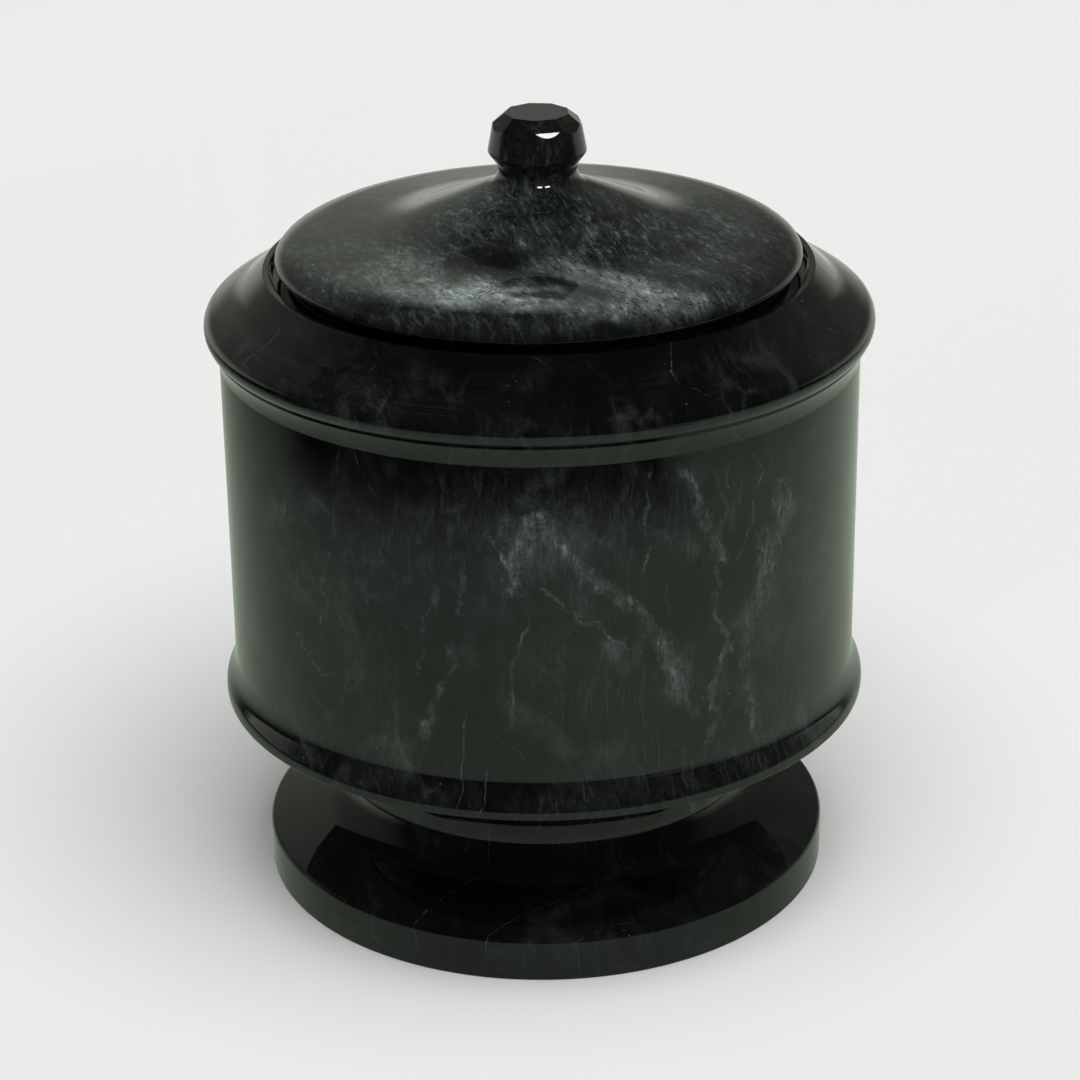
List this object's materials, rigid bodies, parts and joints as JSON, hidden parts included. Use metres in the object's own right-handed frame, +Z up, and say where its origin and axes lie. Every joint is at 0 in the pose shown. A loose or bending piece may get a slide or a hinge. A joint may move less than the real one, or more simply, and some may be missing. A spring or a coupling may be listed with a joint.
{
  "type": "cremation urn",
  "caption": "Lidded marble urn: a round straight-sided drum with a moulded collar, on a waisted round foot, with a lift-off lid and a faceted knob.",
  "frame": {"origin": "middle of the foot's flat underside", "axes": "+Z up along the turning axis, towards the lid's knob; -Y towards the front"},
  "size_m": [0.2148, 0.2148, 0.2581],
  "materials": {
    "vessel": "polished black marble with fine pale veins",
    "lid": "polished black marble with dense pale streaks"
  },
  "bodies": {
    "root": {"vessel": "vessel", "lid": "lid"}
  },
  "joints": []
}
